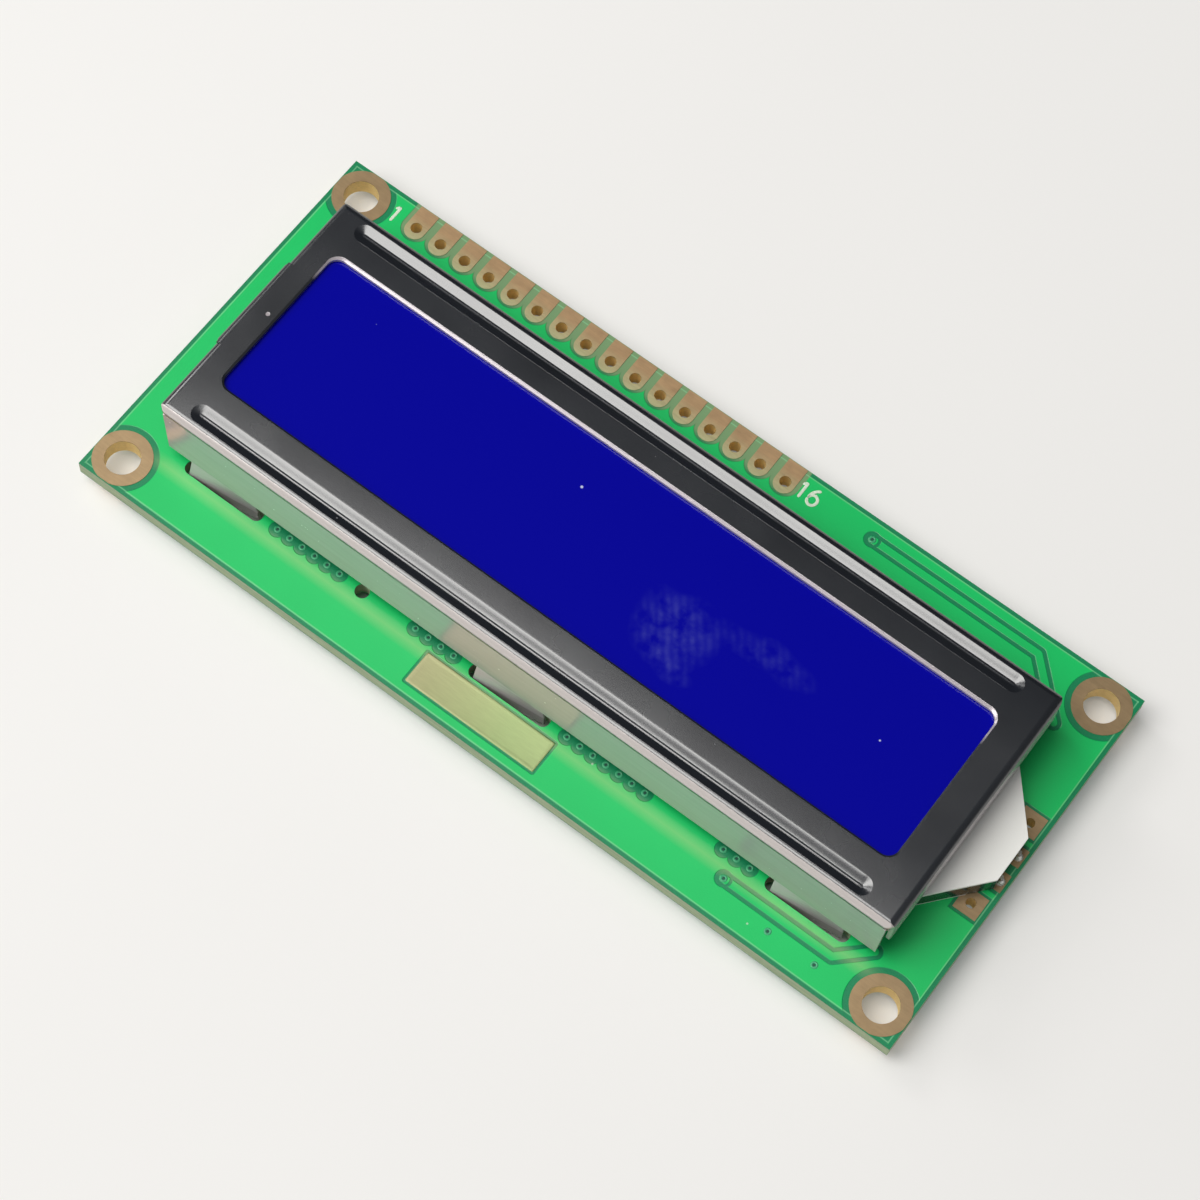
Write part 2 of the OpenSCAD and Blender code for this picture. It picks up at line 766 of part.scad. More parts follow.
circuit_board();
mounting_pads();
header_pads();
backlight_pads();
contact_fingers();
bezel();
front_polarizer();
front_glass();
cell_seal();
rear_glass();
rear_polarizer();
zebra_strip_front();
zebra_strip_back();
diffuser_film();
light_guide();
reflector_film();
tongue_film();
backlight_lamp();
lamp_leads();
lamp_solder();
controller_chip();
controller_cap();
driver_chip();
driver_cap();
ladder_resistors();
timing_resistors();
backlight_resistors();
capacitors();
chip_solder();
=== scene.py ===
import json
import math

import bpy
import numpy as np
from bpy.props import FloatProperty, FloatVectorProperty, PointerProperty
from mathutils import Matrix, Vector


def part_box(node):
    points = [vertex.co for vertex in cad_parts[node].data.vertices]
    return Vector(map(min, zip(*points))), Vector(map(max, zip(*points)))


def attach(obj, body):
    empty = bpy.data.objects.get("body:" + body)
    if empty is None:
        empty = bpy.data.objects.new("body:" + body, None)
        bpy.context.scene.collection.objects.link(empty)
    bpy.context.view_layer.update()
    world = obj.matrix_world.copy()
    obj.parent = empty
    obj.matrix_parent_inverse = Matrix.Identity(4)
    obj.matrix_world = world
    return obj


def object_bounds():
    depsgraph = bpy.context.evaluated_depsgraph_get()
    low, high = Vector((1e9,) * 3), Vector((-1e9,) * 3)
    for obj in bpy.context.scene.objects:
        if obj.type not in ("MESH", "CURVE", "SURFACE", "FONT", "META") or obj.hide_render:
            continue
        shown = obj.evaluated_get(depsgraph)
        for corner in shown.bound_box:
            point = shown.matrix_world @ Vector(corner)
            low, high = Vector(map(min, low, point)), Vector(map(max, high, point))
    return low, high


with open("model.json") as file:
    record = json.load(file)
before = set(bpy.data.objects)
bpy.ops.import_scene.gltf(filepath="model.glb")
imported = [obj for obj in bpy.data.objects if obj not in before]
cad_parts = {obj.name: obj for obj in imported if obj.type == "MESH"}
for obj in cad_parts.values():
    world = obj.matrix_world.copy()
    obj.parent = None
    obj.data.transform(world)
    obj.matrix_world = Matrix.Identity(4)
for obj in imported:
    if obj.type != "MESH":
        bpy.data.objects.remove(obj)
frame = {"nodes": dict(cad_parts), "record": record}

bl_info = {
    "name": "Character display module",
    "version": (1, 0, 0),
    "blender": (4, 5, 0),
    "location": "3D View > Sidebar > Display",
    "description": "Finishes, printed and plated details and a studio for a character display module",
    "category": "Object",
}

CAD_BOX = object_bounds()
MM = 0.001

# Places and heights are read from the solids and the mounts, and kept in millimetres.
MOUNTS = {mount["name"]: mount for mount in frame["record"]["mounts"]}


def corners(node):
    """Lowest and highest corner of a solid, in millimetres."""
    low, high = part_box(node)
    return np.array(low) / MM, np.array(high) / MM


BOARD_LOW, BOARD_HIGH = corners("circuit_board")
BEZEL_LOW, BEZEL_HIGH = corners("bezel")
CELL_LOW, CELL_HIGH = corners("front_polarizer")
GLASS_LOW, GLASS_HIGH = corners("front_glass")
PAD_LOW, PAD_HIGH = corners("header_pads")
WIRE_LOW, WIRE_HIGH = corners("backlight_pads")
TONGUE_LOW, TONGUE_HIGH = corners("tongue_film")
CAPS = [corners("controller_cap"), corners("driver_cap")]
COPPER = WIRE_HIGH[2]
MIDDLE_X, MIDDLE_Y = ((GLASS_LOW + GLASS_HIGH) / 2)[:2]
HOLE_X = MOUNTS["board_holes"]["dims"]["spacing_x_mm"] / 2
HOLE_Y = MOUNTS["board_holes"]["dims"]["spacing_y_mm"] / 2
PIN_PITCH = MOUNTS["header_row"]["dims"]["spacing_x_mm"]
PIN_COUNT = MOUNTS["header_row"]["dims"]["count"]
PIN_MID_X, PIN_Y = np.array(MOUNTS["header_row"]["pos_m"][:2]) / MM
PIN_X = PIN_MID_X - PIN_PITCH * (PIN_COUNT - 1) / 2
WIRE_X, WIRE_Y = np.array(MOUNTS["backlight_wires"]["pos_m"][:2]) / MM
WIRE_SPREAD = MOUNTS["backlight_wires"]["dims"]["spacing_y_mm"] / 2

# Plated-through vias: rows beside the front wall as (first x, number), and single ones.
VIA_PITCH = 1.27
VIA_ROW_Y = -12.72
VIA_ROWS = ((-23.7, 6), (-9.65, 4), (5.4, 7), (20.6, 3))
BACK_TRACK = ((14.7, 16.15), (31.0, 16.15), (35.2, 11.95))
FRONT_TRACK = ((22.0, -14.64), (32.3, -14.64), (34.7, -12.3))
LONE_VIAS = (BACK_TRACK[0], FRONT_TRACK[0], (27.2, -16.04), (31.6, -16.04))
PLATE_BOX = (-7.62, 5.02, -16.74, -13.72)

# Parts of the fingerprint: x, y, half length, half width and strength.
PRINTS = ((7.6, -2.4, 3.4, 3.3, 1.0), (14.6, 0.1, 4.9, 1.2, 0.55), (9.2, -5.5, 2.2, 1.0, 0.55))


def rgb(red, green, blue):
    """A colour given as it shows on a screen, from 0 to 255, in the linear values that shaders take."""
    part = np.array([red, green, blue]) / 255
    return tuple(np.where(part <= 0.04045, part / 12.92, ((part + 0.055) / 1.055) ** 2.4))


class StageSettings(bpy.types.PropertyGroup):
    """The floor, the lamps and the camera"""

    floor_colour: FloatVectorProperty(
        name="Floor colour", description="Colour of the pale floor",
        default=rgb(224, 223, 221), subtype="COLOR", min=0, max=1)
    floor_lift: FloatProperty(
        name="Floor lift", description="Light that the camera alone sees on the floor",
        default=0.14, min=0, max=1)
    key_watts: FloatProperty(
        name="Key light", description="Power of the large soft lamp overhead, in watts",
        default=4.9, min=0)
    key_size: FloatProperty(
        name="Key size", description="Shorter side of the large soft lamp",
        default=0.46, min=0.05, unit="LENGTH")
    side_watts: FloatProperty(
        name="Side light", description="Power of the weaker lamp on the left, in watts",
        default=0.7, min=0)
    key_distance: FloatProperty(
        name="Key distance", description="Distance of the soft lamp from the object",
        default=0.72, min=0.2, unit="LENGTH")
    sky: FloatProperty(
        name="Surroundings", description="Strength of the even light from all round",
        default=0.2, min=0)
    lens: FloatProperty(
        name="Lens", description="Focal length of the camera, in millimetres",
        default=97.27, min=20)


class FinishSettings(bpy.types.PropertyGroup):
    """Colours of the finishes"""

    mask: FloatVectorProperty(
        name="Solder mask", description="Green over copper",
        default=rgb(14, 196, 100), subtype="COLOR", min=0, max=1)
    mask_gap: FloatVectorProperty(
        name="Solder mask, bare", description="Green where there is no copper below",
        default=rgb(14, 132, 84), subtype="COLOR", min=0, max=1)
    gilt: FloatVectorProperty(
        name="Plating", description="Thin plating on the pads",
        default=rgb(176, 150, 114), subtype="COLOR", min=0, max=1)
    black: FloatVectorProperty(
        name="Bezel coat", description="Black coat on the bezel's face",
        default=rgb(20, 24, 31), subtype="COLOR", min=0, max=1)
    blue: FloatVectorProperty(
        name="Display", description="Deep blue of the display",
        default=rgb(0, 0, 152), subtype="COLOR", min=0, max=1)


class PrintSettings(bpy.types.PropertyGroup):
    """Sizes of what is printed and plated on the board"""

    stroke: FloatProperty(
        name="Stroke", description="Width of the printed numerals' strokes",
        default=0.27 * MM, min=0.05 * MM, unit="LENGTH")
    numeral_height: FloatProperty(
        name="Numeral height", description="Height of the printed numerals",
        default=1.6 * MM, min=0.5 * MM, unit="LENGTH")
    via_size: FloatProperty(
        name="Via", description="Outer diameter of a via's rim",
        default=0.62 * MM, min=0.3 * MM, unit="LENGTH")


# ------------------------------------------------------------------ shader maths


class Wire:
    """A value that varies over a surface. Python's operators on it add Math nodes."""

    def __init__(self, finish, socket):
        self.finish = finish
        self.socket = socket

    def _math(self, operation, *values):
        return self.finish.add("ShaderNodeMath", {"operation": operation}, dict(enumerate(values)))

    def __add__(self, other):
        return self._math("ADD", self, other)

    def __radd__(self, other):
        return self._math("ADD", other, self)

    def __sub__(self, other):
        return self._math("SUBTRACT", self, other)

    def __rsub__(self, other):
        return self._math("SUBTRACT", other, self)

    def __mul__(self, other):
        return self._math("MULTIPLY", self, other)

    def __rmul__(self, other):
        return self._math("MULTIPLY", other, self)

    def __truediv__(self, other):
        return self._math("DIVIDE", self, other)

    def __neg__(self):
        return self._math("MULTIPLY", self, -1.0)

    def __abs__(self):
        return self._math("ABSOLUTE", self)

    def sqrt(self):
        return self._math("SQRT", self)

    def wave(self):
        return self._math("SINE", self)

    def nearest_whole(self):
        return self._math("ROUND", self)

    def least(self, other):
        return self._math("MINIMUM", self, other)

    def most(self, other):
        return self._math("MAXIMUM", self, other)

    def held(self, low=0.0, high=1.0):
        """The value kept between two limits."""
        return self.most(low).least(high)

    def angle_to(self, other):
        return self._math("ARCTAN2", self, other)

    def above(self, level, soft):
        """1 well above a level and 0 well below it, with a ramp of the given width between."""
        return ((self - level) / soft + 0.5).held()


class Finish:
    """A material being written: its node tree, its object coordinates in millimetres
    and the shapes and textures that its colours are worked out from."""

    def __init__(self, name):
        self.material = bpy.data.materials.new(name)
        self.material.use_nodes = True
        self.tree = self.material.node_tree
        self.tree.nodes.clear()
        place = self.add("ShaderNodeTexCoord", output="Object")
        self.place = self.add("ShaderNodeVectorMath", {"operation": "SCALE"},
                              {0: place, "Scale": 1 / MM})
        self.x, self.y, self.z = self.split(self.place)

    def add(self, kind, settings=None, values=None, output=0):
        """Adds a node: its settings first, a ramp's stops among them, then the values
        or wires of its sockets. Returns the wire of one of its outputs."""
        node = self.tree.nodes.new(kind)
        for key, value in (settings or {}).items():
            if key == "stops":
                ramp = node.color_ramp.elements
                while len(ramp) < len(value):
                    ramp.new(1.0)
                for stop, (position, colour) in zip(ramp, value):
                    stop.position = position
                    stop.color = (*colour, 1.0)
            else:
                setattr(node, key, value)
        for key, value in (values or {}).items():
            if isinstance(value, Wire):
                self.tree.links.new(value.socket, node.inputs[key])
            else:
                node.inputs[key].default_value = value
        return Wire(self, node.outputs[output])

    def split(self, vector):
        node = self.add("ShaderNodeSeparateXYZ", None, {0: vector}).socket.node
        return [Wire(self, node.outputs[i]) for i in range(3)]

    def noise(self, scale, detail=2.0, stretch=(1.0, 1.0, 1.0), roughness=0.5):
        """Noise from 0 to 1 with about scale features to a millimetre, drawn out along
        an axis by stretch."""
        vector = self.add("ShaderNodeVectorMath", {"operation": "DIVIDE"},
                          {0: self.place, 1: stretch})
        return self.add("ShaderNodeTexNoise", None, {
            "Vector": vector, "Scale": scale, "Detail": detail, "Roughness": roughness})

    def specks(self, scale, size, share):
        """Scattered round specks: 1 inside a cell's own small disc, in the given share of the cells."""
        node = self.add("ShaderNodeTexVoronoi", None,
                        {"Vector": self.place, "Scale": scale}).socket.node
        chance = self.split(Wire(self, node.outputs["Color"]))
        near = 1 - Wire(self, node.outputs["Distance"]).above(
            size * (0.4 + chance[1]), 0.3 * size)
        return near * chance[0].above(1 - share, 0.01)

    def blend(self, mask, first, second):
        """The first colour where the mask is 0 and the second where it is 1."""
        pair = [c if isinstance(c, Wire) else (*c[:3], 1.0) for c in (first, second)]
        return self.add("ShaderNodeMix", {"data_type": "RGBA"},
                        {0: mask, 6: pair[0], 7: pair[1]}, output=2)

    def shade(self, colour, level):
        """A colour made lighter or darker by a factor that varies."""
        base = colour if isinstance(colour, Wire) else tuple(colour[:3])
        scaled = self.add("ShaderNodeVectorMath", {"operation": "SCALE"},
                          {0: base, "Scale": level})
        return scaled

    def disc(self, x, y, radius):
        """Distance outside a circle, negative within it."""
        return ((self.x - x) * (self.x - x) + (self.y - y) * (self.y - y)).sqrt() - radius

    def panel(self, low_x, high_x, low_y, high_y, corner=0.0):
        """Distance outside a rectangle with rounded corners, negative within it."""
        across = abs(self.x - (low_x + high_x) / 2) - ((high_x - low_x) / 2 - corner)
        along = abs(self.y - (low_y + high_y) / 2) - ((high_y - low_y) / 2 - corner)
        out_x, out_y = across.most(0.0), along.most(0.0)
        return (out_x * out_x + out_y * out_y).sqrt() + across.most(along).least(0.0) - corner

    def line(self, points):
        """Distance from a chain of straight lines."""
        nearest = None
        for (ax, ay), (bx, by) in zip(points, points[1:]):
            ux, uy = bx - ax, by - ay
            px, py = self.x - ax, self.y - ay
            share = ((px * ux + py * uy) / (ux * ux + uy * uy)).held()
            dx, dy = px - share * ux, py - share * uy
            reach = (dx * dx + dy * dy).sqrt()
            nearest = reach if nearest is None else nearest.least(reach)
        return nearest

    def row(self, first, pitch, count):
        """Distance along X from the nearest of a row of evenly spaced places."""
        last = count - 1
        index = ((self.x - first) / pitch).nearest_whole().held(0.0, float(last))
        return self.x - first - index * pitch

    def bump(self, height, under=None):
        """A normal for a height in millimetres, laid over another normal if one is given."""
        values = {"Height": height, "Distance": MM, "Strength": 1.0}
        if under is not None:
            values["Normal"] = under
        return self.add("ShaderNodeBump", None, values)

    def surface(self, **values):
        """Closes the material with one Principled surface, its sockets named with
        underscores for spaces."""
        sockets = {key.replace("_", " "): value for key, value in values.items()}
        if not isinstance(sockets["Base Color"], Wire):
            sockets["Base Color"] = (*sockets["Base Color"][:3], 1.0)
        shader = self.add("ShaderNodeBsdfPrincipled", None, sockets)
        self.add_output(shader)
        return self.material

    def add_output(self, shader):
        node = self.tree.nodes.new("ShaderNodeOutputMaterial")
        self.tree.links.new(shader.socket, node.inputs["Surface"])


def within(distance, soft=0.05):
    """1 inside a shape and 0 outside it, from its distance."""
    return 1 - distance.above(0.0, soft)


def dress(node, material):
    """Puts a material in every slot of a solid's object."""
    slots = frame["nodes"][node].material_slots
    if not slots:
        frame["nodes"][node].data.materials.append(material)
    for slot in slots:
        slot.material = material


# ------------------------------------------------------------------ the finishes


def solder_mask(finishes):
    """Green mask over copper, darker in the gaps, on a pale laminate with fibres in its edges."""
    f = Finish("solder_mask")
    top = f.z.above(BOARD_HIGH[2] - 0.1, 0.02)
    under = 1 - f.z.above(BOARD_LOW[2] + 0.1, 0.02)

    # gaps on both faces: round the fixing holes, the header pads and the wire pads
    corner_x, corner_y = abs(f.x) - HOLE_X, abs(f.y) - HOLE_Y
    ring = (corner_x * corner_x + corner_y * corner_y).sqrt() - 3.0
    pin = f.row(PIN_X, PIN_PITCH, PIN_COUNT)
    pin_end = (f.y - PIN_Y).least(0.0)
    pins = (pin * pin + pin_end * pin_end).sqrt() - 1.32
    wires = abs(abs(f.y - WIRE_Y) - WIRE_SPREAD).most(abs(f.x - WIRE_X)) - 1.3
    leads = f.panel(WIRE_HIGH[0] - 1.2, BOARD_HIGH[0], WIRE_Y - 2.4, WIRE_Y + 2.4)
    rim = (BOARD_HIGH[0] - abs(f.x)).least(BOARD_HIGH[1] - abs(f.y)) - 0.33
    shared = ring.least(pins).least(wires).least(rim)

    # the upper face's own gaps: scalloped round the vias, and beside its tracks
    face = shared.least(leads)
    for first, count in VIA_ROWS:
        step = f.row(first, VIA_PITCH, count)
        drop = f.y - VIA_ROW_Y
        face = face.least((step * step + drop * drop).sqrt() - 0.72)
    for track in (BACK_TRACK, FRONT_TRACK):
        strip = f.line(track)
        face = face.least(abs(strip - 0.5) - 0.17)
        face = face.least(abs(f.disc(*track[0], 0.62)) - 0.12)
    plate = f.panel(*PLATE_BOX)
    face = face.least(abs(plate - 0.1) - 0.1)

    # the lower face's: a comb of tracks from the header, and fans round the resin caps
    comb = (abs(pin) - 0.32)
    comb = (abs(comb) - 0.12).most(abs(f.y - 12.0) - 2.4)
    back = shared.least(comb)
    for low, high in CAPS:
        middle = (low + high) / 2
        radius = f.disc(middle[0], middle[1], 0.0)
        turn = (f.y - middle[1]).angle_to(f.x - middle[0])
        spokes = (turn * 24.0).wave() * 0.5 + 0.12
        back = back.least(spokes.most(abs(radius - 9.6) - 1.3))
        back = back.least(abs(radius - 8.0) - 0.25)
    gap = within(face, 0.07) * top + within(back, 0.07) * under

    grain = f.noise(9.0, 4.0)
    drift = f.noise(0.09, 2.0)
    copper = f.shade(finishes.mask, 0.86 + 0.1 * grain + 0.18 * drift)
    bare = f.shade(finishes.mask_gap, 0.7 + 0.6 * grain)
    green = f.blend(gap, copper, bare)
    between = within(pins, 0.1) * f.y.above(PIN_Y - 1.0, 0.8) * top
    green = f.blend(between * 0.75, green, rgb(136, 162, 116))
    # a pale line 0.4 mm in from the board's edges: painted highlight where the copper pour's edge
    # catches light
    edge = (BOARD_HIGH[0] - abs(f.x)).least(BOARD_HIGH[1] - abs(f.y))
    green = f.blend(within(abs(edge - 0.4) - 0.05, 0.06) * 0.5, green, rgb(140, 214, 160))
    silk = 0.0
    for low, high in CAPS:
        middle = (low + high) / 2
        silk = within(abs(f.disc(middle[0], middle[1], 7.75)) - 0.12, 0.06) + silk
    green = f.blend(silk * under, green, rgb(226, 232, 224))
    dust = f.specks(0.35, 0.05, 0.12)
    green = f.blend(dust * 0.6, green, rgb(206, 222, 206))
    # a pale yellow-green band on the board in front of the bezel's front wall: painted reflection of
    # light thrown onto the board by the wall's bare steel
    glow = (1 - abs(f.y + 13.9) / 0.9).most(0.0) * within(abs(f.x) - 35.5, 2.0) * top
    green = f.blend(glow * 0.24, green, rgb(196, 208, 140))

    # the cut edges: pale laminate with fibres along them
    cut = (1 - top) * (1 - under)
    fibre = f.noise(2.2, 5.0, stretch=(6.0, 6.0, 0.35))
    laminate = f.blend(fibre, rgb(118, 146, 108), rgb(196, 206, 170))
    colour = f.blend(cut, green, laminate)
    height = 0.035 * (1 - gap) + 0.004 * grain + 0.03 * cut * fibre
    return f.surface(Base_Color=colour, Roughness=0.3 + 0.1 * grain + 0.35 * cut,
                     Normal=f.bump(height), IOR=1.5)


def plating(name, base, tail=None):
    """Thin tan-gold plating with brushed streaks, painted paler in the holes as painted light on their
    walls, and, where a tail colour is given, changing to it towards the round ends of the header pads."""
    f = Finish(name)
    streaks = f.noise(3.0, 5.0, stretch=(5.0, 0.6, 1.0), roughness=0.7)
    stain = f.noise(0.9, 3.0)
    inner = 1 - f.z.above(BOARD_HIGH[2] - 0.01, 0.02)
    colour = f.blend(stain.above(0.5, 0.5), base, f.shade(base, 0.84))
    if tail is not None:
        colour = f.blend(1 - f.y.above(PIN_Y, 2.0), colour, tail)
    # paler plating in the holes: painted light standing in for light falling on their walls
    colour = f.blend(inner, colour, rgb(246, 218, 150))
    colour = f.shade(colour, 0.8 + 0.4 * streaks)
    return f.surface(Base_Color=colour, Metallic=0.75 - 0.4 * inner,
                     Roughness=0.36 + 0.2 * streaks, Normal=f.bump(0.006 * streaks))


def bezel_coat(finishes):
    """Black satin coat on the face and the folds, left off the front fold, where the bare steel is
    paler and duller; bare steel on the walls and the tabs, which are duller where they enter the board,
    and on the window's cut lip at the back. The grooves' edges are rounded, and the face is slightly
    crowned beside its long edges."""
    f = Finish("bezel_coat")
    top = BEZEL_HIGH[2]
    ragged = f.noise(2.5, 3.0)
    coat = f.z.above(top - 0.62 + 0.06 * ragged, 0.03)
    coat = coat * f.y.above(SHEET_LOW_Y + 0.4 + 0.05 * ragged, 0.04)
    front = 1 - f.y.above(SHEET_LOW_Y + 0.2, 0.05)
    coat = coat.most(within(abs(f.z - (top - 0.74)) - 0.1 - 0.1 * ragged, 0.06) * front * 0.85)
    # the bare steel at the top, on the front fold and the window's back lip, and the long walls' cut
    # ends are made paler and less metallic
    bare_top = f.z.above(top - 0.5, 0.06) * (1 - coat)
    cut_end = abs(f.x - MIDDLE_X).above(LONG_WALL_END, 0.02) * (1 - f.z.above(top - 1.0, 0.05))
    cut_end = cut_end * abs(f.y - MIDDLE_Y).above(LONG_WALL_Y, 0.05)
    paler_duller_steel = bare_top.most(cut_end)
    tab = (1 - f.z.above(1.35, 0.1)) * f.z.above(-0.3, 0.1)
    lip = f.panel(WINDOW[0] - 0.16, WINDOW[1] + 0.16, WINDOW[2] - 0.16, WINDOW[3] + 0.24, 1.15)
    coat = coat * (1 - within(lip, 0.04) * f.y.above(MIDDLE_Y + 5.0, 1.0))
    inside = within(f.panel(BEZEL_LOW[0] + 0.5, BEZEL_HIGH[0] - 0.45, GLASS_LOW[1] - 0.3,
                            GLASS_HIGH[1] + 0.3)) * (1 - f.z.above(top - 0.36, 0.02))
    coat = coat * (1 - inside)

    peel = f.noise(6.0, 3.0)
    cloud = f.noise(0.14, 3.0)
    dust = f.specks(0.55, 0.045, 0.3)
    nick = f.specks(0.21, 0.03, 0.25)
    black = f.shade(finishes.black, 0.75 + 0.5 * cloud)
    black = f.blend(dust * 0.5, black, rgb(150, 152, 156))
    steel = f.shade(rgb(200, 191, 195), 0.86 + 0.2 * f.noise(1.2, 4.0, stretch=(8.0, 8.0, 0.5)))
    steel = f.blend(paler_duller_steel, steel, rgb(204, 196, 192))
    coat = coat * (1 - nick)

    # the groove's straight slopes, replaced by a cosine with a fine ridge along its middle
    offset = abs(f.y - MIDDLE_Y) - GROOVE_Y
    aside = abs(offset)
    straight = ((aside - 0.15) * 0.4138 - 0.3).held(-0.3, 0.0)
    curved = -0.15 * (1 + (aside.least(0.95) * (math.pi / 0.95) + math.pi / 2).wave())
    ridge = 0.02 * (1 - aside / 0.14).most(0.0)
    long = within(abs(f.x - MIDDLE_X - WINDOW_SHIFT) - GROOVE_REACH, 0.5)
    shape = ((curved - straight) * 0.6 + ridge) * long
    near = (SHEET_LOW_Y + 6.5 - f.y).most(0.0)
    far = (f.y - SHEET_HIGH_Y + 6.5).most(0.0)
    crown = -0.0048 * near * near - 0.0035 * far * far
    return f.surface(
        Base_Color=f.blend(coat, steel, black),
        Metallic=0.4 * (1 - coat) * (1 - 0.7 * tab) * (1 - 0.7 * paler_duller_steel),
        Roughness=coat * (0.2 + 0.12 * cloud) + (1 - coat) * (0.2 + 0.1 * ragged), IOR=2.1,
        Normal=f.bump(coat * (0.02 + 0.0012 * peel) + shape + crown))


def display_film(finishes):
    """Deep blue polarizer with a few specks of dust and a fingerprint right of the middle."""
    f = Finish("display_film")
    curl = f.noise(0.22, 2.0)
    touched = 0.0
    for x, y, wide, deep, level in PRINTS:
        print_x, print_y = (f.x - x + 3.0 * (curl - 0.5)) / wide, (f.y - y - 2.0 * (curl - 0.5)) / deep
        touched = level * (1 - (print_x * print_x + print_y * print_y).above(0.7, 1.1)) + touched
    ridges = ((f.x * 0.8 + f.y * 0.6 + curl * 0.6) * 10.0).wave() * 0.5 + 0.5
    patches = f.noise(0.8, 4.0).above(0.5, 0.3)
    smudge = touched * patches * (0.55 + 0.45 * ridges)
    dust = f.specks(0.3, 0.03, 0.12)
    for x, y, radius in ((-5.2, 2.9, 0.11), (25.8, -0.2, 0.07), (3.1, 7.4, 0.07)):
        dust = dust.most(within(f.disc(x, y, radius), 0.08))
    colour = f.blend(smudge * 0.085, finishes.blue, rgb(150, 160, 225))
    colour = f.blend(dust * 0.8, colour, rgb(214, 220, 245))
    return f.surface(Base_Color=colour, Roughness=0.06 + 0.2 * smudge + 0.3 * dust, IOR=1.42,
                     Normal=f.bump(0.0001 * curl))


def glass(name, tint):
    """Clear glass with a faintly green body and ground edges."""
    f = Finish(name)
    rim = 1 - within(f.panel(GLASS_LOW[0] + 0.05, GLASS_HIGH[0] - 0.05,
                             GLASS_LOW[1] + 0.05, GLASS_HIGH[1] - 0.05))
    ground = f.noise(5.0, 3.0)
    return f.surface(Base_Color=f.shade(tint, 0.92 + 0.1 * ground), IOR=1.5,
                     Transmission_Weight=0.9, Roughness=0.02 + 0.4 * rim * ground)


def film(name, colour, roughness, grain=0.06, bump=0.003, metallic=0.0):
    """A thin plain sheet or body with a fine even grain and slow cloudiness."""
    f = Finish(name)
    fine, slow = f.noise(8.0, 3.0), f.noise(0.4, 2.0)
    tone = 1 - grain + grain * (fine + slow)
    return f.surface(Base_Color=f.shade(colour, tone), Roughness=roughness + 0.1 * (fine - 0.5),
                     Metallic=metallic, Normal=f.bump(bump * fine))


def acrylic():
    """Moulded acrylic, partly clear, coloured dark grey-green as painted shade on its sides, with rows
    of printed dots under it.
    """
    f = Finish("clear_acrylic")
    low = 1 - f.z.above(0.6, 0.3)
    dots = ((f.x * 6.3).wave() * (f.y * 6.3).wave()).above(0.55, 0.2)
    mould = f.noise(1.4, 3.0)
    # dark grey-green body: painted shade along the guide's sides; the pale printed dots show on its
    # lower part
    colour = f.blend(dots * low, rgb(58, 70, 64), rgb(150, 156, 152))
    return f.surface(Base_Color=colour, IOR=1.49, Transmission_Weight=0.5,
                     Roughness=0.04 + 0.08 * mould, Normal=f.bump(0.006 * mould))


def zebra():
    """Silicone rubber with fine conducting stripes across it."""
    f = Finish("zebra_rubber")
    stripes = (f.x * 34.0).wave().above(0.0, 0.6)
    dusty = f.noise(2.0, 3.0)
    colour = f.blend(stripes, rgb(150, 148, 142), rgb(30, 30, 32))
    return f.surface(Base_Color=f.shade(colour, 0.85 + 0.3 * dusty), Roughness=0.55 + 0.2 * dusty,
                     Normal=f.bump(0.01 * stripes))


def resin():
    """Black potting resin, poured and cured: slow waves, a few pinholes and a thin dull skin."""
    f = Finish("potting_resin")
    flow, skin = f.noise(0.3, 3.0), f.noise(5.0, 3.0)
    pits = f.specks(1.1, 0.08, 0.06)
    colour = f.blend(flow, rgb(16, 16, 17), rgb(34, 34, 36))
    return f.surface(Base_Color=colour, Roughness=0.22 + 0.25 * flow + 0.1 * skin,
                     Normal=f.bump(0.12 * flow + 0.004 * skin - 0.05 * pits))


def solder():
    """Bright solder with a slightly frosted grain."""
    f = Finish("solder")
    grain, flow = f.noise(12.0, 3.0), f.noise(2.0, 2.0)
    colour = f.shade(rgb(228, 228, 224), 0.8 + 0.3 * flow)
    return f.surface(Base_Color=colour, Metallic=0.6, Roughness=0.16 + 0.22 * grain,
                     Normal=f.bump(0.02 * flow + 0.004 * grain))


def tinned():
    """Tinned leads, dull with drawing marks along them."""
    f = Finish("tinned_lead")
    marks = f.noise(6.0, 4.0, stretch=(8.0, 1.0, 1.0))
    return f.surface(Base_Color=f.shade(rgb(200, 200, 196), 0.8 + 0.3 * marks), Metallic=1.0,
                     Roughness=0.28 + 0.2 * marks, Normal=f.bump(0.004 * marks))


def ceramic(name, top_colour, side_colour, depth):
    """A small chip: a glazed top over a paler ceramic side."""
    f = Finish(name)
    glaze = 1 - f.z.above(BOARD_LOW[2] - COPPER - depth, 0.03)
    grain = f.noise(7.0, 4.0)
    colour = f.blend(glaze, side_colour, top_colour)
    return f.surface(Base_Color=f.shade(colour, 0.8 + 0.4 * grain),
                     Roughness=0.5 - 0.28 * glaze + 0.1 * grain, Normal=f.bump(0.006 * grain))


def ink():
    """Printed white ink, slightly green where it is thin."""
    f = Finish("printed_ink")
    cover = f.noise(6.0, 4.0)
    colour = f.blend(cover.above(0.5, 0.5), rgb(196, 222, 190), rgb(232, 240, 226))
    return f.surface(Base_Color=colour, Roughness=0.6 + 0.2 * cover, Normal=f.bump(0.006 * cover))


